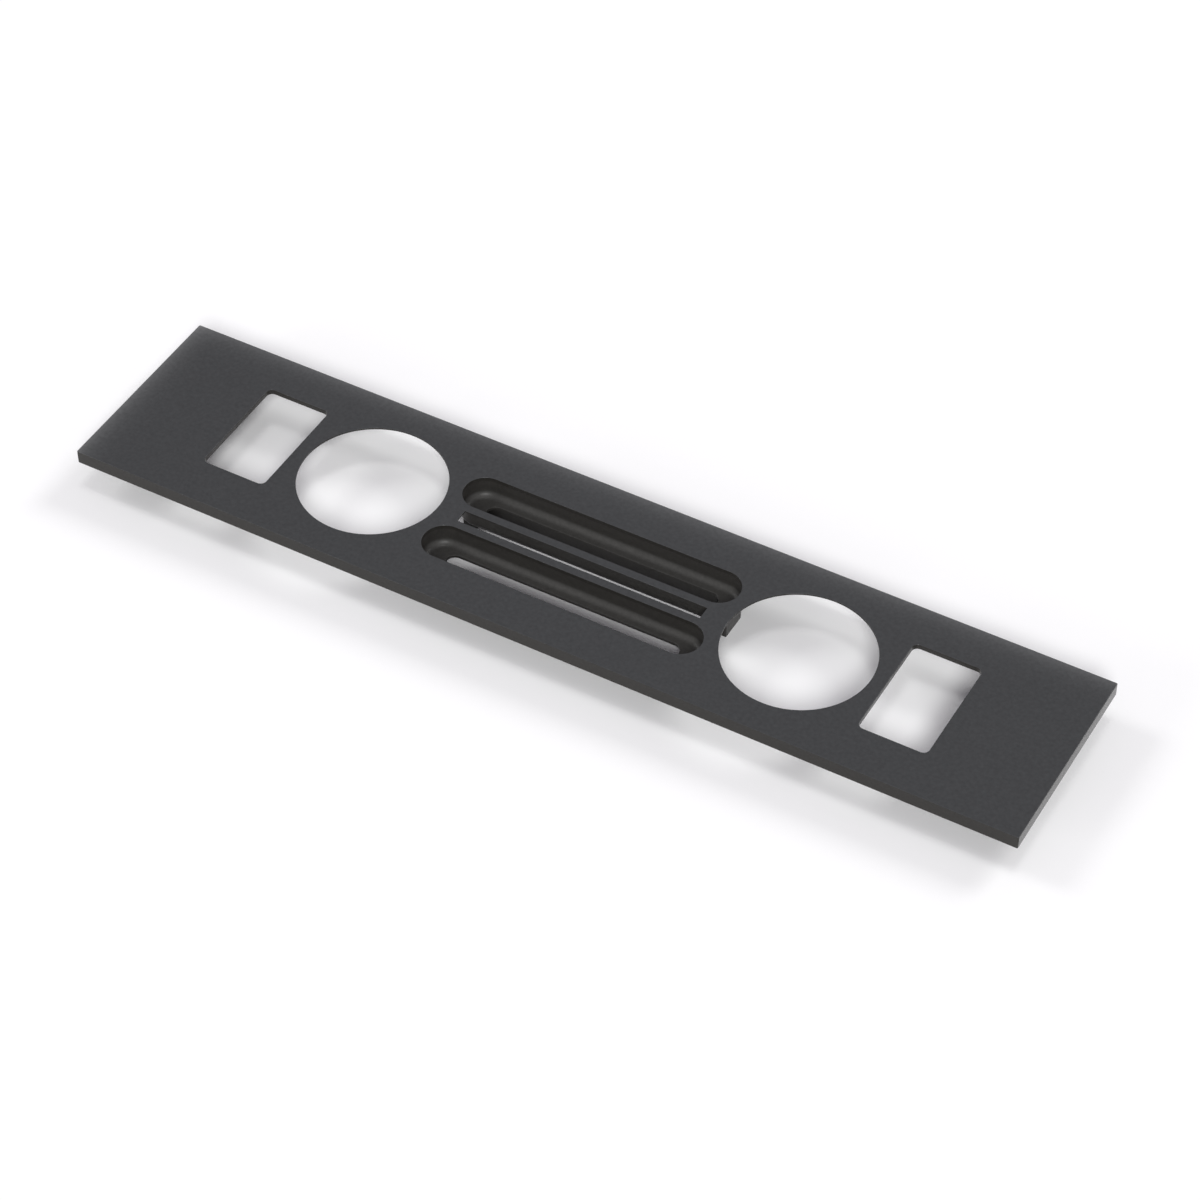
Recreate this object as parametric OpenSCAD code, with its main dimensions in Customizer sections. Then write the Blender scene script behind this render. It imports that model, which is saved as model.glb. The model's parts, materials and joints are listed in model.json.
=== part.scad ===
// Control panel bezel: a long flat face sheet inside a low rim, with two
// dial holes, two switch windows and two finger troughs for slide levers,
// and a narrow light slit between the troughs. It is one moulding. It lies
// face up on the guide ribs behind the troughs, and z = 0 is their foot.

/* [Plate] */
// Length of the face plate, end to end
plate_l = 245; // [206:1:300]
// Width of the face plate, front to back
plate_w = 52; // [42:1:80]
// Thickness of the face sheet
sheet_t = 1.4; // [1:0.1:2.2]
// Height of the rim, from the face to its foot
rim_h = 3.5; // [2.5:0.1:5]
// Thickness of the rim
rim_w = 1.6; // [1:0.1:3]

/* [Thinned edges] */
// Straight wall left at the face of a dial hole or the slit
edge_land = 0.4; // [0.3:0.1:0.8]
// Angle of the flare behind that wall, from upright
edge_flare = 45; // [10:1:60]

/* [Dial holes] */
// Diameter of each dial hole at the face
dial_d = 36; // [24:0.5:38]
// Distance between the centres of the two dial holes
dial_pitch = 112.5; // [110:0.5:114]

/* [Switch windows] */
// Length of each window, along the plate
window_l = 17; // [12:0.5:18.5]
// Width of each window, across the plate
window_w = 29; // [20:0.5:36]
// Corner radius of each window
window_r = 1.5; // [0.5:0.1:4]
// Distance between the centres of the two windows
window_pitch = 172.6; // [170.6:0.1:198]
// How far the windows sit behind the middle line of the plate
window_shift = 0.5; // [-2:0.1:2]

/* [Finger troughs] */
// Length of each trough at the face, round ends included
trough_l = 72.6; // [60:0.2:75]
// Width of each trough at the face
trough_w = 10.6; // [9:0.1:12.4]
// Distance between the middle lines of the two troughs
trough_pitch = 18.4; // [17.6:0.1:24]
// Depth of each trough below the face
trough_depth = 5.5; // [4:0.1:7]
// Radius of the cove where the trough's wall meets its floor
cove_r = 1.8; // [0.5:0.1:2.8]
// Thickness of the skin that forms the well behind each trough
well_skin = 0.8; // [0.6:0.1:1.2]

/* [Lever slots] */
// Width of the lever slot in the floor of each trough
slot_w = 4.6; // [4.2:0.1:6]
// Distance from the end of a trough to the end of its slot
slot_end_gap = 5.6; // [5:0.1:12]

/* [Guide ribs] */
// How far the guide ribs stand out behind the foot of the rim
guide_drop = 8; // [5:0.1:16]
// Thickness of the long rib on the outer side of each slot
guide_wall = 1.2; // [0.8:0.1:2]
// Thickness of the short rib across each end
guide_end = 2.4; // [1:0.1:3.4]
// Gap from the side of a slot to its long rib
guide_side_gap = 0.2; // [0.1:0.1:0.8]
// Gap from the end of a slot to its end rib
guide_end_gap = 2; // [0.4:0.1:2.4]

/* [Light slit] */
// Length of the slit between the troughs
slit_l = 64; // [30:0.5:70]
// Width of the slit
slit_w = 3.6; // [1.5:0.1:5]

/* [Hidden] */
$fn = 96;
// A cut runs this far past the face that it opens
over = 1;
face_z = guide_drop + rim_h;
sheet_z = face_z - sheet_t;
flare_h = sheet_t - edge_land;
flare_grow = flare_h * tan(edge_flare);
slot_l = trough_l - 2 * slot_end_gap;
guide_half_w = slot_w / 2 + guide_side_gap + guide_wall;
guide_half_l = slot_l / 2 + guide_end_gap + guide_end;

// Rectangle with round corners, centred
module round_rect(l, w, r) {
    square([l - 2 * r, w], center = true);
    square([l, w - 2 * r], center = true);
    for (sx = [-1, 1], sy = [-1, 1])
        translate([sx * (l / 2 - r), sy * (w / 2 - r)]) circle(r);
}

// Flat outline with two full round ends, centred
module stadium(l, w) {
    square([l - w, w], center = true);
    for (sx = [-1, 1])
        translate([sx * (l - w) / 2, 0]) circle(d = w);
}

// Half the section of a trough: straight wall, cove and flat floor.
// x runs out from the middle line and y = 0 is the face of the plate.
module half_section(half_w, depth, r) {
    translate([0, -(depth - r)]) square([half_w, depth - r]);
    translate([0, -depth]) square([half_w - r, depth]);
    translate([half_w - r, -(depth - r)]) circle(r);
}

// Solid of a trough, grown by a skin: the section is carried straight
// along the plate and turned about an upright axis at each end. The cove
// keeps its radius, so the skin is thickest at the cove.
module trough_form(skin) {
    half_w = trough_w / 2 + skin;
    depth = trough_depth + skin;
    r = cove_r;
    run = trough_l - trough_w;
    translate([-run / 2, 0, face_z])
        rotate([90, 0, 90])
            linear_extrude(run) {
                half_section(half_w, depth, r);
                mirror([1, 0]) half_section(half_w, depth, r);
            }
    for (sx = [-1, 1])
        translate([sx * run / 2, 0, face_z])
            rotate_extrude() half_section(half_w, depth, r);
}

// Opens the face above a trough, so that the cut runs past it
module trough_mouth() {
    translate([0, 0, face_z - cove_r / 2])
        linear_extrude(cove_r / 2 + over) stadium(trough_l, trough_w);
}

// Slot in the floor of a trough for the stem of a lever
module lever_slot() {
    translate([0, 0, -over])
        linear_extrude(face_z + 2 * over) stadium(slot_l, slot_w);
}

// C-shaped rib under a well: a long wall on the outer side of the slot
// and a short one across each end, open towards the light slit. It runs
// up into the well, past the round corner of the skin.
module guide_rib() {
    linear_extrude(face_z - trough_depth + cove_r)
        difference() {
            square([2 * guide_half_l, 2 * guide_half_w], center = true);
            translate([0, -guide_wall])
                square([2 * (guide_half_l - guide_end), 2 * guide_half_w], center = true);
        }
}

// Dial hole: short straight wall at the face, then a flare to the back
module dial_hole() {
    translate([0, 0, sheet_z - over])
        cylinder(h = sheet_t + 2 * over, d = dial_d);
    translate([0, 0, sheet_z])
        cylinder(h = flare_h, r1 = dial_d / 2 + flare_grow, r2 = dial_d / 2);
}

// Rounded opening for a switch, straight through the sheet
module switch_window() {
    translate([0, 0, sheet_z - over])
        linear_extrude(sheet_t + 2 * over) round_rect(window_l, window_w, window_r);
}

// Half the section of the light slit, flared behind like a dial hole
module slit_section() {
    translate([0, sheet_z - over]) square([slit_w / 2, sheet_t + 2 * over]);
    polygon([
        [0, sheet_z],
        [slit_w / 2 + flare_grow, sheet_z],
        [slit_w / 2, face_z - edge_land],
        [0, face_z - edge_land]
    ]);
}

// Light slit: its section carried along the plate, with square ends
// that flare in the same way
module light_slit() {
    translate([-slit_l / 2, -slit_w / 2, sheet_z - over])
        cube([slit_l, slit_w, sheet_t + 2 * over]);
    intersection() {
        translate([-slit_l, 0, 0])
            rotate([90, 0, 90])
                linear_extrude(2 * slit_l) {
                    slit_section();
                    mirror([1, 0]) slit_section();
                }
        rotate([90, 0, 0])
            linear_extrude(2 * slit_w + 2 * flare_grow, center = true)
                polygon([
                    [-slit_l / 2 - flare_grow, sheet_z],
                    [slit_l / 2 + flare_grow, sheet_z],
                    [slit_l / 2, face_z - edge_land],
                    [-slit_l / 2, face_z - edge_land]
                ]);
    }
}

// Flat sheet inside its rim, with the dial holes, windows and light slit
module face_plate() {
    difference() {
        translate([-plate_l / 2, -plate_w / 2, guide_drop]) cube([plate_l, plate_w, rim_h]);
        translate([rim_w - plate_l / 2, rim_w - plate_w / 2, guide_drop - over])
            cube([plate_l - 2 * rim_w, plate_w - 2 * rim_w, rim_h - sheet_t + over]);
        for (sx = [-1, 1]) {
            translate([sx * dial_pitch / 2, 0, 0]) dial_hole();
            translate([sx * window_pitch / 2, window_shift, 0]) switch_window();
        }
        light_slit();
    }
}

// Puts a shape at the back trough and its mirror image at the front one
module at_each_trough() {
    for (side = [0, 1])
        mirror([0, side, 0]) translate([0, trough_pitch / 2, 0]) children();
}

module bezel() {
    color([0.25, 0.26, 0.27])
        difference() {
            union() {
                face_plate();
                at_each_trough() trough_form(well_skin);
                at_each_trough() guide_rib();
            }
            at_each_trough() {
                trough_form(0);
                trough_mouth();
                lever_slot();
            }
        }
}

bezel();
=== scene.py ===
import json
import math

import bmesh
import bpy
import numpy as np
from mathutils import Euler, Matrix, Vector


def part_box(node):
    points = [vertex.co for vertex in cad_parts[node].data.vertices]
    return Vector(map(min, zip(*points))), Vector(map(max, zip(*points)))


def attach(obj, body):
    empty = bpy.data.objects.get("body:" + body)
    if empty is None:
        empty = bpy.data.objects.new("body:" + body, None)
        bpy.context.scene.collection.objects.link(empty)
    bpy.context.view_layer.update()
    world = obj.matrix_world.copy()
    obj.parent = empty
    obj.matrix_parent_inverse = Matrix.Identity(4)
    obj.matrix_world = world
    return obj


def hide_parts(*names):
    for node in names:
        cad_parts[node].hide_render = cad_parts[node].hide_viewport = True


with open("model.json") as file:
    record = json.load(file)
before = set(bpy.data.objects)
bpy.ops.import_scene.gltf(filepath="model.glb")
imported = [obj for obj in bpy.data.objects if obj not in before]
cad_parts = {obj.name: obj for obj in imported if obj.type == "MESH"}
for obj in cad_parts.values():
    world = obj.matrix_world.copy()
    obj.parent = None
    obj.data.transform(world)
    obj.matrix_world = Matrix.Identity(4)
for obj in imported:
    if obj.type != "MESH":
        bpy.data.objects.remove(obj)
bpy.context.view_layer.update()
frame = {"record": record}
scene = bpy.context.scene
mmPerMetre = 1000


# sRGB to linear light: c / 12.92 below 0.04045, else ((c + 0.055) / 1.055) ** 2.4
def hexToLinear(text):
    values = []
    for start in (0, 2, 4):
        c = int(text[start:start + 2], 16) / 255
        values.append(c / 12.92 if c <= 0.04045 else ((c + 0.055) / 1.055) ** 2.4)
    return (*values, 1.0)


# One node: settings go to its properties or sockets, and links to its sockets. A socket goes by
# its name or its number. A colour mix has its factor at 0 and its two colours at 6 and 7, and it
# gives its result at 2.
def addNode(tree, kind, settings=None, links=None):
    made = tree.nodes.new(kind)
    for key, value in (settings or {}).items():
        if isinstance(key, str) and hasattr(made, key):
            setattr(made, key, value)
        else:
            made.inputs[key].default_value = value
    for key, source in (links or {}).items():
        tree.links.new(source, made.inputs[key])
    return made


# Sizes of the moulding in millimetres. The plate's length and width, the height of its face and
# the dial holes come from the frame.
bezelSizes = {
    "rimHeight": 3.5, "rimWidth": 1.6, "sheetThickness": 1.4,
    "edgeLand": 0.4, "flareDegrees": 45.0,      # straight wall of a thinned edge, and its flare
    "windowLength": 17.0, "windowWidth": 29.0, "windowCorner": 1.5,
    "windowPitch": 172.6, "windowShift": 0.5,
    "troughLength": 72.6, "troughWidth": 10.6, "troughPitch": 18.4,
    "troughDepth": 5.5, "coveRadius": 1.8, "wellSkin": 0.8,
    "slotWidth": 4.6, "slotEndGap": 5.6,
    "ribWall": 1.2, "ribEnd": 2.4, "ribSideGap": 0.2, "ribEndGap": 2.0,
    "slitLength": 64.0, "slitWidth": 3.6, "slitCorner": 0.05,
    "faceEdge": 0.12,       # radius of every edge that a hand or an eye meets
    "hiddenEdge": 0.1,      # radius of the edges on the back
    "corner": 0.3,          # radius of the upright corners of square outlines
    "edgeSteps": 4,         # facets across those small radii
    "coveSteps": 10,        # facets across a trough's cove
    "windowSteps": 8,       # facets round a window's corner
    "dialSteps": 32,        # facets round a quarter of a dial hole
    "troughSteps": 20,      # facets round a quarter of a trough's end
    "smoothDegrees": 32.0,  # an edge that turns by more than this looks sharp
}
overrun = 1.0           # how far a cutter runs past what it opens, in millimetres
weldDistance = 1e-4     # points nearer than this become one, in millimetres
sliverWidth = 1e-5      # thinner slivers are dissolved, in millimetres
squareNormal = 0.99999  # largest part of the normal of a face that is square to an axis


# Outline of a rectangle with round corners. A point of the outline grown by d is its
# corner's centre plus (radius + d) times a unit vector, so one outline gives every offset.
def roundOutline(length, width, radius, steps, centre=(0.0, 0.0)):
    turn = np.linspace(0, math.pi / 2, steps + 1)
    angles = np.concatenate([turn + quarter * math.pi / 2 for quarter in range(4)])
    signs = np.repeat(np.array([(1, 1), (-1, 1), (-1, -1), (1, -1)]), steps + 1, axis=0)
    reach = np.array([length / 2 - radius, width / 2 - radius])
    return {
        "centres": signs * reach + np.array(centre),
        "directions": np.column_stack([np.cos(angles), np.sin(angles)]),
        "radius": radius,
    }


# Part of a circle as (offset, height) rows: its centre plus the radius times the cosine and the
# sine of an angle that goes from a to b degrees
def arcRows(offset, height, radius, a, b, steps):
    angles = np.radians(np.linspace(a, b, steps + 1))
    return np.column_stack([offset + radius * np.cos(angles), height + radius * np.sin(angles)])


# Closed solid: a profile of (offset, height) rows, from the top down, carried round an
# outline. Point (i, j) is centre_j + (radius + offset_i) * direction_j at height_i.
def carriedSolid(name, outline, rows):
    rows = np.asarray(rows, float)
    reach = outline["radius"] + rows[:, 0]
    flat = outline["centres"][None] + reach[:, None, None] * outline["directions"][None]
    height = np.broadcast_to(rows[:, 1][:, None, None], (*flat.shape[:2], 1))
    points = np.concatenate([flat, height], axis=2).reshape(-1, 3)
    levels, around = flat.shape[:2]
    i, j = np.meshgrid(np.arange(levels - 1), np.arange(around), indexing="ij")
    k = (j + 1) % around
    upper, lower = i * around, (i + 1) * around
    quads = np.stack([upper + j, lower + j, lower + k, upper + k], axis=2)
    top = list(range(around))
    bottom = list(range((levels - 1) * around, levels * around))[::-1]
    mesh = bpy.data.meshes.new(name)
    mesh.from_pydata(points.tolist(), [], quads.reshape(-1, 4).tolist() + [top, bottom])
    work = bmesh.new()
    work.from_mesh(mesh)
    bmesh.ops.remove_doubles(work, verts=work.verts, dist=weldDistance)
    bmesh.ops.recalc_face_normals(work, faces=work.faces)
    work.to_mesh(mesh)
    work.free()
    return bpy.data.objects.new(name, mesh)


# Rows of a cutter's mouth at a face: straight above it, then a rounded edge of radius r
def mouthRows(face, r):
    return np.vstack([[r, face + overrun], arcRows(r, face - r, r, 90, 180, bezelSizes["edgeSteps"])])


# Rows of a hole that is flared behind: a short straight wall, then a cone to the back
def flaredRows(face):
    s = bezelSizes
    back = face - s["sheetThickness"]
    grow = (s["sheetThickness"] - s["edgeLand"]) * math.tan(math.radians(s["flareDegrees"]))
    return np.vstack([
        mouthRows(face, s["faceEdge"]),
        [[0, face - s["edgeLand"]], [grow, back], [grow, back - overrun]],
    ])


# The light slit: a narrow rectangle, flared behind
def slitCutter(face):
    s = bezelSizes
    outline = roundOutline(s["slitLength"], s["slitWidth"], s["slitCorner"], s["edgeSteps"])
    return carriedSolid("slitCut", outline, flaredRows(face))


# A dial hole: the frame's bore as a circle, flared behind
def dialCutter(bore, face):
    x, y = bore["pos_m"][0] * mmPerMetre, bore["pos_m"][1] * mmPerMetre
    radius = bore["dims"]["r_mm"]
    outline = roundOutline(2 * radius, 2 * radius, radius, bezelSizes["dialSteps"], (x, y))
    return carriedSolid("dialCut", outline, flaredRows(face))


# A window: straight through the sheet, with a rounded edge at the face and on the back
def windowCutter(x, face):
    s, h = bezelSizes, bezelSizes["hiddenEdge"]
    back = face - s["sheetThickness"]
    outline = roundOutline(s["windowLength"], s["windowWidth"], s["windowCorner"], s["windowSteps"],
                           (x, s["windowShift"]))
    rows = np.vstack([
        mouthRows(face, s["faceEdge"]),
        arcRows(h, back + h, h, 180, 270, s["edgeSteps"]),
        [[h, back - overrun]],
    ])
    return carriedSolid("windowCut", outline, rows)


# The hollow behind the sheet, inside the rim, with a rounded edge at its ceiling and its foot
def hollowCutter(length, width, face):
    s, h = bezelSizes, bezelSizes["hiddenEdge"]
    foot, ceiling = face - s["rimHeight"], face - s["sheetThickness"]
    outline = roundOutline(length - 2 * s["rimWidth"], width - 2 * s["rimWidth"], s["corner"],
                           s["edgeSteps"])
    rows = np.vstack([
        arcRows(-h, ceiling - h, h, 90, 0, s["edgeSteps"]),
        arcRows(h, foot + h, h, 180, 270, s["edgeSteps"]),
        [[h, foot - overrun]],
    ])
    return carriedSolid("hollow", outline, rows)


# A trough is cut down its wall and round its cove to a flat floor
def troughCutter(y, face):
    s = bezelSizes
    wallFoot = face - s["troughDepth"] + s["coveRadius"]
    outline = roundOutline(s["troughLength"], s["troughWidth"], s["troughWidth"] / 2,
                           s["troughSteps"], (0.0, y))
    rows = np.vstack([
        mouthRows(face, s["faceEdge"]),
        arcRows(-s["coveRadius"], wallFoot, s["coveRadius"], 0, -90, s["coveSteps"]),
    ])
    return carriedSolid("troughCut", outline, rows)


# The well behind a trough stands off it by the thickness of its skin, with the same cove
def wellSolid(y, face):
    s = bezelSizes
    skin, r = s["wellSkin"], s["coveRadius"]
    outline = roundOutline(s["troughLength"], s["troughWidth"], s["troughWidth"] / 2,
                           s["troughSteps"], (0.0, y))
    rows = np.vstack([
        [skin, face - s["edgeLand"]],
        arcRows(skin - r, face - s["troughDepth"] - skin + r, r, 0, -90, s["coveSteps"]),
    ])
    return carriedSolid("well", outline, rows)


# The lever slot: straight through the floor of a trough, from a rounded edge
def slotCutter(y, face):
    s = bezelSizes
    floor = face - s["troughDepth"]
    outline = roundOutline(s["troughLength"] - 2 * s["slotEndGap"], s["slotWidth"], s["slotWidth"] / 2,
                           s["troughSteps"], (0.0, y))
    rows = np.vstack([mouthRows(floor, s["hiddenEdge"]), [[0, floor - s["wellSkin"] - overrun]]])
    return carriedSolid("slotCut", outline, rows)


# The C-shaped guide rib under a well: a long wall outside the slot and one across each end. Each
# is an upright box with a rounded foot.
def guideSolids(side, face):
    s, h = bezelSizes, bezelSizes["hiddenEdge"]
    middle = side * s["troughPitch"] / 2
    halfWidth = s["slotWidth"] / 2 + s["ribSideGap"] + s["ribWall"]
    halfLength = s["troughLength"] / 2 - s["slotEndGap"] + s["ribEndGap"] + s["ribEnd"]
    top = face - s["troughDepth"] + s["coveRadius"]
    rows = np.vstack([[[0, top]], arcRows(-h, h, h, 0, -90, s["edgeSteps"])])
    walls = [
        (2 * halfLength, s["ribWall"], 0.0, middle + side * (halfWidth - s["ribWall"] / 2)),
        (s["ribEnd"], 2 * halfWidth, halfLength - s["ribEnd"] / 2, middle),
        (s["ribEnd"], 2 * halfWidth, -halfLength + s["ribEnd"] / 2, middle),
    ]
    solids = []
    for length, width, x, y in walls:
        outline = roundOutline(length, width, s["corner"], s["edgeSteps"], (x, y))
        solids.append(carriedSolid("guideWall", outline, rows))
    return solids


# Takes each stage's solids off a body or joins them to it, in order, and then removes them
def carve(body, stages):
    scene.collection.objects.link(body)
    for operation, solids in stages:
        for solid in solids:
            scene.collection.objects.link(solid)
            step = body.modifiers.new(solid.name, "BOOLEAN")
            step.operation = operation
            step.object = solid
            step.solver = "EXACT"
    bpy.context.view_layer.update()
    carved = body.evaluated_get(bpy.context.evaluated_depsgraph_get())
    body.data = bpy.data.meshes.new_from_object(carved)
    body.modifiers.clear()
    for solid in [solid for stage in stages for solid in stage[1]]:
        bpy.data.objects.remove(solid)


# Welds a carved mesh and turns it from millimetres to metres. Faces square to an axis are
# shaded flat, and the rounded ones between them smooth.
def finishMesh(mesh):
    work = bmesh.new()
    work.from_mesh(mesh)
    bmesh.ops.remove_doubles(work, verts=work.verts, dist=weldDistance)
    bmesh.ops.dissolve_degenerate(work, edges=work.edges, dist=sliverWidth)
    volume = work.calc_volume()
    loose = sum(1 for edge in work.edges if not edge.is_manifold)
    bmesh.ops.scale(work, vec=[1 / mmPerMetre] * 3, verts=work.verts)
    work.to_mesh(mesh)
    work.free()
    mesh.set_sharp_from_angle(angle=math.radians(bezelSizes["smoothDegrees"]))
    normals = np.empty(len(mesh.polygons) * 3)
    mesh.polygons.foreach_get("normal", normals)
    square = np.abs(normals.reshape(-1, 3)).max(axis=1) >= squareNormal
    mesh.polygons.foreach_set("use_smooth", ~square)
    print(f"bezel: {len(mesh.polygons)} faces, {volume:.0f} cubic mm, {loose} open edges")


# The whole moulding: the sheet is cut first, then the wells and ribs are joined to it and opened
def makeBezel(name):
    s = bezelSizes
    low, high = (np.array(corner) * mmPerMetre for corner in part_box("bezel"))
    face = float(high[2])
    e, h = s["faceEdge"], s["hiddenEdge"]
    length, width = (high - low)[:2]
    plate = roundOutline(length, width, s["corner"], s["edgeSteps"])
    bezel = carriedSolid(name, plate, np.vstack([
        arcRows(-e, face - e, e, 90, 0, s["edgeSteps"]),
        arcRows(-h, face - s["rimHeight"] + h, h, 0, -90, s["edgeSteps"]),
    ]))
    bores = [mount for mount in frame["record"]["mounts"] if mount["kind"] == "bore"]
    holes = [hollowCutter(length, width, face), slitCutter(face)]
    holes.extend(dialCutter(bore, face) for bore in bores)
    added, cuts = [], []
    for side in (-1, 1):
        y = side * s["troughPitch"] / 2
        holes.append(windowCutter(side * s["windowPitch"] / 2, face))
        added.extend([wellSolid(y, face), *guideSolids(side, face)])
        cuts.extend([troughCutter(y, face), slotCutter(y, face)])
    print(f"solids: {len(holes)} holes, {len(added)} wells and ribs, {len(cuts)} troughs and slots")
    carve(bezel, [("DIFFERENCE", holes), ("UNION", added), ("DIFFERENCE", cuts)])
    finishMesh(bezel.data)
    return bezel


# How the plastic looks. Colours are sRGB hex and lengths are in millimetres. A pair says where a
# change starts and where it ends, and a turn is the upward part of a surface's normal.
plasticLook = {
    "face": "3d3e3f", "wall": "292724",         # grained face, and upright walls painted darker and warmer as painted shade
    "wallTurn": (0.15, 0.6),                    # from wall to face
    "cove": "434240", "troughFloor": "383735",  # inside the troughs: the cove paler as a painted highlight, the floor darker as painted shade
    "floorTurn": (0.8, 0.98),                   # from cove to trough floor
    "troughLightDepth": (0.3, 1.6),                    # below the face, where the troughs' painted light and shade comes in
    "tintHalf": (16.0, 20.0),                   # from the middle line, where it goes out
    "steepShare": 0.38,                         # how much of it the steep walls take
    "Roughness": 0.5, "IOR": 1.27,              # ABS has an IOR of 1.54, and its grain gleams less
    "Coat Weight": 1.0, "Coat IOR": 1.23,       # the skin, which gleams at a shallow angle
    "Coat Roughness": 0.12,
    "dullRoughness": 0.38,                      # the skin's roughness inside the troughs
    "dullHalf": (40.0, 50.0),                   # from the plate's middle, where that goes out
    "paintedSheen": "ffffff",                         # what the left and back edges of the face are lightened with, a painted sheen
    "paintedSheenLeft": 0.075, "paintedSheenBack": 0.055,   # how much of it, at the very edge
    "paintedSheenWidth": 2.2,                         # it falls to about a third over this width
    "grainSize": 0.9, "grainDepth": 0.03,       # real spark grain is too fine, see grainSurface
    "grainDetail": 2.0, "grainRoughness": 0.6,
    "mottle": 0.26,                             # share of the colour that the grain changes
}


# The inside of the troughs is painted warmer than the face, with painted light and shade: palest
# in the cove as a painted highlight, darker on the floor as painted shade, and a little paler than
# other walls on its steep sides as painted bounced light. The skin there is duller.
def paintTroughLight(tree, surface, colour, spot, facing, upward):
    s = plasticLook
    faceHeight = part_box("bezel")[1].z
    deep = addNode(tree, "ShaderNodeMapRange", {
        "From Min": faceHeight - s["troughLightDepth"][1] / mmPerMetre,
        "From Max": faceHeight - s["troughLightDepth"][0] / mmPerMetre, "To Min": 1.0, "To Max": 0.0,
    }, {"Value": spot.outputs["Z"]})
    aside = addNode(tree, "ShaderNodeMath", {"operation": "ABSOLUTE"}, {0: spot.outputs["Y"]})
    near = addNode(tree, "ShaderNodeMapRange", {
        "From Min": s["tintHalf"][0] / mmPerMetre, "From Max": s["tintHalf"][1] / mmPerMetre,
        "To Min": 1.0, "To Max": 0.0,
    }, {"Value": aside.outputs[0]})
    inTrough = addNode(tree, "ShaderNodeMath", {"operation": "MULTIPLY"},
                       {0: deep.outputs["Result"], 1: near.outputs["Result"]})

    along = addNode(tree, "ShaderNodeMath", {"operation": "ABSOLUTE"}, {0: spot.outputs["X"]})
    dullest = addNode(tree, "ShaderNodeMapRange", {
        "From Min": s["dullHalf"][0] / mmPerMetre, "From Max": s["dullHalf"][1] / mmPerMetre,
        "To Min": s["dullRoughness"], "To Max": s["Coat Roughness"],
    }, {"Value": along.outputs[0]})
    dull = addNode(tree, "ShaderNodeMapRange", {"To Min": s["Coat Roughness"]},
                   {"Value": inTrough.outputs[0], "To Max": dullest.outputs["Result"]})
    tree.links.new(dull.outputs["Result"], surface.inputs["Coat Roughness"])

    level = addNode(tree, "ShaderNodeMapRange", {
        "interpolation_type": "SMOOTHSTEP", "From Min": s["floorTurn"][0], "From Max": s["floorTurn"][1],
    }, {"Value": facing.outputs["Z"]})
    trough = addNode(tree, "ShaderNodeMix", {
        "data_type": "RGBA", 6: hexToLinear(s["cove"]), 7: hexToLinear(s["troughFloor"]),
    }, {0: level.outputs["Result"]})
    share = addNode(tree, "ShaderNodeMapRange", {"To Min": s["steepShare"]},
                    {"Value": upward.outputs["Result"]})
    paintedShare = addNode(tree, "ShaderNodeMath", {"operation": "MULTIPLY"},
                     {0: inTrough.outputs[0], 1: share.outputs["Result"]})
    return addNode(tree, "ShaderNodeMix", {"data_type": "RGBA"},
                   {0: paintedShare.outputs[0], 6: colour.outputs[2], 7: trough.outputs[2]})


# A painted sheen lightens the face along its left and its back edge, in place of the paler
# reflection that the face catches there. The lightening is amount * exp(-d / width), where d is the
# distance from the edge.
def paintEdgeSheen(tree, colour, spot, upward):
    s = plasticLook
    low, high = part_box("bezel")
    fade = s["paintedSheenWidth"] / mmPerMetre
    edges = (("X", low.x, -1, s["paintedSheenLeft"]), ("Y", high.y, 1, s["paintedSheenBack"]))
    paintedSheen = []
    for axis, edge, way, amount in edges:
        depth = addNode(tree, "ShaderNodeMath",
                        {"operation": "MULTIPLY_ADD", 1: way / fade, 2: -way * edge / fade},
                        {0: spot.outputs[axis]})
        power = addNode(tree, "ShaderNodeMath", {"operation": "EXPONENT"}, {0: depth.outputs[0]})
        paintedSheen.append(addNode(tree, "ShaderNodeMath", {"operation": "MULTIPLY", 1: amount},
                              {0: power.outputs[0]}))
    both = addNode(tree, "ShaderNodeMath", {"operation": "ADD"},
                   {0: paintedSheen[0].outputs[0], 1: paintedSheen[1].outputs[0]})
    onFace = addNode(tree, "ShaderNodeMath", {"operation": "MULTIPLY"},
                     {0: both.outputs[0], 1: upward.outputs["Result"]})
    return addNode(tree, "ShaderNodeMix", {
        "data_type": "RGBA", "blend_type": "ADD", 7: hexToLinear(s["paintedSheen"]),
    }, {0: onFace.outputs[0], 6: colour.outputs[2]})


# Spark grain, as a mottled colour and as bumps. The real one is about 0.1 mm, too fine to show in
# the render, so it is drawn coarser.
def grainSurface(tree, surface, colour, place):
    s = plasticLook
    grain = addNode(tree, "ShaderNodeTexNoise", {
        "Scale": mmPerMetre / s["grainSize"], "Detail": s["grainDetail"], "Roughness": s["grainRoughness"],
    }, {"Vector": place.outputs["Object"]})
    mottle = addNode(tree, "ShaderNodeMapRange", {"To Min": 1 - s["mottle"], "To Max": 1 + s["mottle"]},
                     {"Value": grain.outputs["Fac"]})
    mottled = addNode(tree, "ShaderNodeVectorMath", {"operation": "SCALE"},
                      {0: colour.outputs[2], "Scale": mottle.outputs["Result"]})
    bump = addNode(tree, "ShaderNodeBump", {"Strength": 1.0, "Distance": s["grainDepth"] / mmPerMetre},
                   {"Height": grain.outputs["Fac"]})
    tree.links.new(mottled.outputs[0], surface.inputs["Base Color"])
    tree.links.new(bump.outputs["Normal"], surface.inputs["Normal"])
    tree.links.new(bump.outputs["Normal"], surface.inputs["Coat Normal"])
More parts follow.
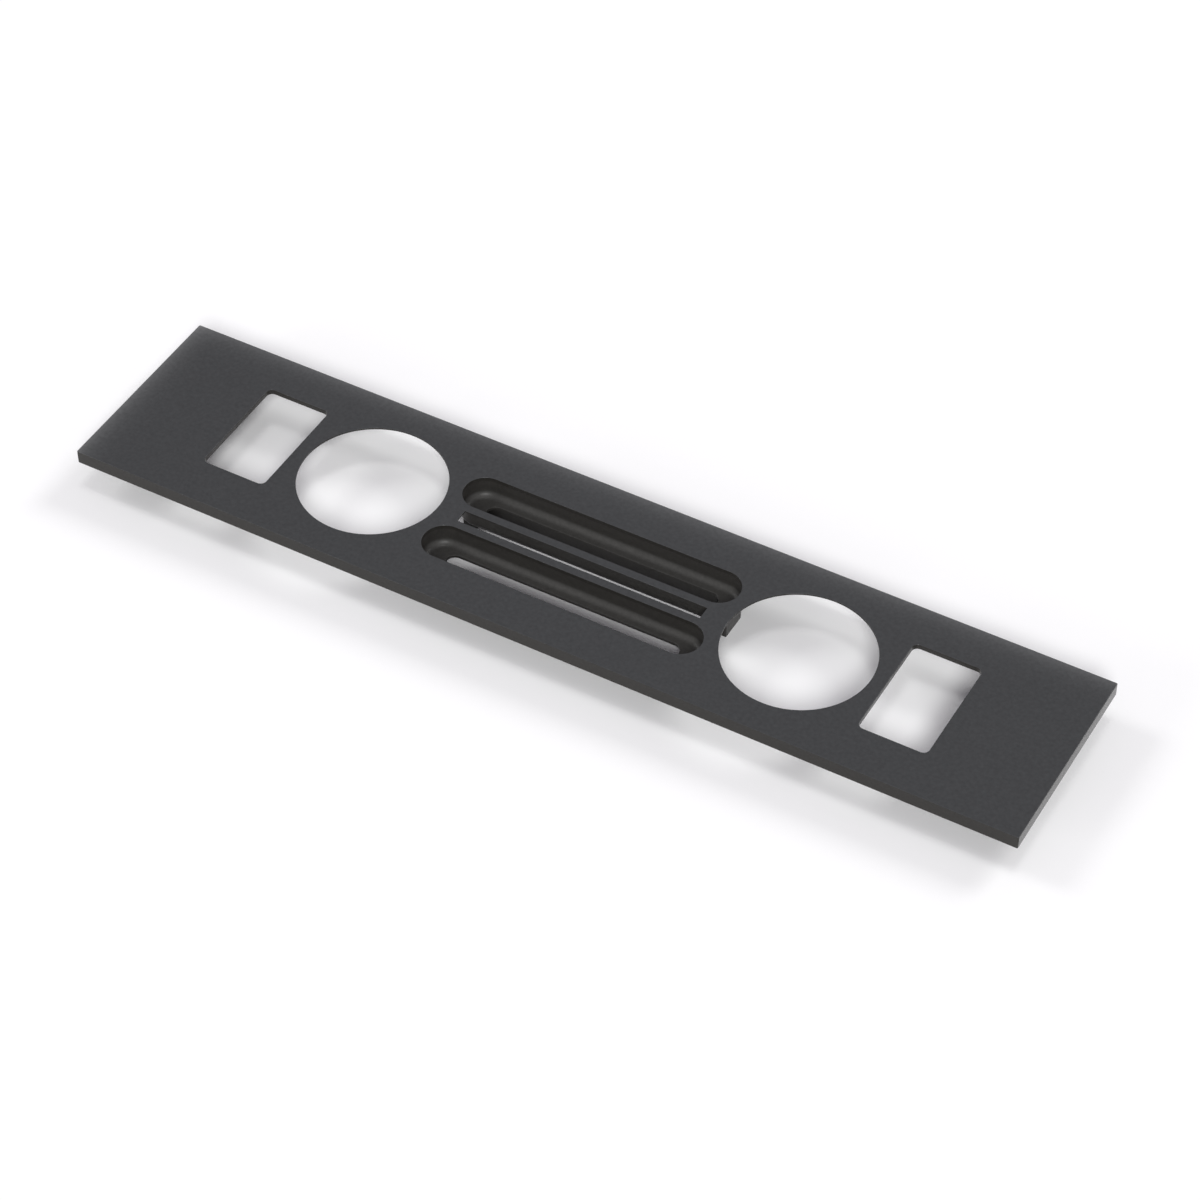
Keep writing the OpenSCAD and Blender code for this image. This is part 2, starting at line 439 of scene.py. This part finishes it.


# Black ABS, injection moulded in a tool with a fine spark grain: the grained face looks a
# soft dark grey, the walls that slid out of the tool are smoother and painted darker and warmer as
# painted shade, and every wall turns glossy where it is seen at a shallow angle
def blackPlastic(name):
    s = plasticLook
    material = bpy.data.materials.new(name)
    material.use_nodes = True
    tree = material.node_tree
    surface = tree.nodes["Principled BSDF"]
    for socket in ("Roughness", "IOR", "Coat Weight", "Coat IOR"):
        surface.inputs[socket].default_value = s[socket]
    place = addNode(tree, "ShaderNodeTexCoord")
    facing = addNode(tree, "ShaderNodeSeparateXYZ", links={0: place.outputs["Normal"]})
    spot = addNode(tree, "ShaderNodeSeparateXYZ", links={0: place.outputs["Object"]})
    # Upright walls take the darker wall colour and up-facing ones the face colour: painted shade by the way
    # a surface faces
    upward = addNode(tree, "ShaderNodeMapRange", {
        "interpolation_type": "SMOOTHSTEP", "From Min": s["wallTurn"][0], "From Max": s["wallTurn"][1],
    }, {"Value": facing.outputs["Z"]})
    colour = addNode(tree, "ShaderNodeMix", {
        "data_type": "RGBA", 6: hexToLinear(s["wall"]), 7: hexToLinear(s["face"]),
    }, {0: upward.outputs["Result"]})
    colour = paintTroughLight(tree, surface, colour, spot, facing, upward)
    colour = paintEdgeSheen(tree, colour, spot, upward)
    grainSurface(tree, surface, colour, place)
    print(f"{name}: {len(tree.nodes)} nodes")
    return material


floorSettings = {
    "half": 3.0,            # metres
    "seen": "fcfcfc",       # colour to the camera and in reflections
    "bounce": "898989",     # colour to the light that it throws back
}


# Matt paint of a studio floor: white to the eye and in reflections, and grey to the light
# that it would throw back up under the part
def floorPaint(name):
    material = bpy.data.materials.new(name)
    material.use_nodes = True
    tree = material.node_tree
    surface = tree.nodes["Principled BSDF"]
    surface.inputs["Roughness"].default_value = 1.0
    surface.inputs["Specular IOR Level"].default_value = 0.0
    path = addNode(tree, "ShaderNodeLightPath")
    seen = addNode(tree, "ShaderNodeMath", {"operation": "MAXIMUM"},
                   {0: path.outputs["Is Camera Ray"], 1: path.outputs["Is Glossy Ray"]})
    seen = addNode(tree, "ShaderNodeMath", {"operation": "MAXIMUM"},
                   {0: seen.outputs[0], 1: path.outputs["Is Transmission Ray"]})
    paint = addNode(tree, "ShaderNodeMix", {
        "data_type": "RGBA", 6: hexToLinear(floorSettings["bounce"]), 7: hexToLinear(floorSettings["seen"]),
    }, {0: seen.outputs[0]})
    tree.links.new(paint.outputs[2], surface.inputs["Base Color"])
    return material


# A square of floor under the part, at z = 0
def makeFloor():
    half = floorSettings["half"]
    corners = [(-half, -half, 0), (half, -half, 0), (half, half, 0), (-half, half, 0)]
    mesh = bpy.data.meshes.new("floor")
    mesh.from_pydata(corners, [], [(0, 1, 2, 3)])
    floor = bpy.data.objects.new("floor", mesh)
    scene.collection.objects.link(floor)
    mesh.materials.append(floorPaint("floor_paint"))
    print(f"floor: {2 * half:.0f} m wide")


# Solved from the plate's corners, holes and rim in the photo
cameraSettings = {
    "targetX": 9.624, "targetY": -8.007,    # millimetres, on the face of the plate
    "distance": 825.9,                      # millimetres
    "azimuth": 29.641, "elevation": 45.530, "roll": -0.133,     # degrees
    "lens": 109.16,                         # millimetres
    "clipEnd": 20.0,                        # metres
}


# The camera stands at the target plus its distance along a line turned by azimuth and elevation
def makeCamera():
    s = cameraSettings
    azimuth, elevation = math.radians(s["azimuth"]), math.radians(s["elevation"])
    target = Vector((s["targetX"] / mmPerMetre, s["targetY"] / mmPerMetre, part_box("bezel")[1].z))
    away = Vector((math.cos(elevation) * math.sin(azimuth), -math.cos(elevation) * math.cos(azimuth),
                   math.sin(elevation)))
    data = bpy.data.cameras.new("camera")
    data.lens = s["lens"]
    data.clip_end = s["clipEnd"]
    camera = bpy.data.objects.new("camera", data)
    camera.location = target + away * s["distance"] / mmPerMetre
    roll = Euler((0, 0, math.radians(s["roll"]))).to_matrix()
    facing = (-away).to_track_quat("-Z", "Y").to_matrix() @ roll
    camera.rotation_euler = facing.to_euler()
    scene.collection.objects.link(camera)
    scene.camera = camera
    print(f"camera: {s['lens']} mm lens, {s['distance']} mm from the plate")


# Each lamp's strength, and in degrees its height, its bearing from +X towards +Y and its width
lightSettings = {
    "lamps": {
        "front": (1.90, 39.0, 300.0, 18.0),
        "right": (0.79, 40.5, 60.0, 23.0),
        "left": (0.51, 40.2, 183.0, 18.0),
        "frontLow": (0.45, 18.0, 240.0, 18.0),
        "top": (0.39, 88.0, 0.0, 14.0),
    },
    "lampColour": "fefffe",
    "worldColour": "faf2ff", "worldStrength": 0.26,
}


# A distant soft lamp. The way to it is (cos h cos b, cos h sin b, sin h), for its height h and its
# bearing b.
def makeLamp(name, strength, height, bearing, width):
    data = bpy.data.lights.new(name, "SUN")
    data.energy = strength
    data.angle = math.radians(width)
    data.color = hexToLinear(lightSettings["lampColour"])[:3]
    lamp = bpy.data.objects.new(name, data)
    h, b = math.radians(height), math.radians(bearing)
    towards = Vector((math.cos(h) * math.cos(b), math.cos(h) * math.sin(b), math.sin(h)))
    lamp.rotation_euler = towards.to_track_quat("Z", "Y").to_euler()
    scene.collection.objects.link(lamp)


# The lamps, and the faint light of the room
def makeLights():
    for name, values in lightSettings["lamps"].items():
        makeLamp(name + "Light", *values)
    world = bpy.data.worlds.new("studio")
    world.use_nodes = True
    background = world.node_tree.nodes["Background"]
    background.inputs["Color"].default_value = hexToLinear(lightSettings["worldColour"])
    background.inputs["Strength"].default_value = lightSettings["worldStrength"]
    scene.world = world
    print(f"lights: {len(lightSettings['lamps'])} lamps and the world")


scene.view_settings.view_transform = "Standard"
makeCamera()
bezel = makeBezel("bezel_moulding")
bezel.data.materials.clear()
bezel.data.materials.append(blackPlastic("black_abs"))
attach(bezel, "root")
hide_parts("bezel")
makeFloor()
makeLights()
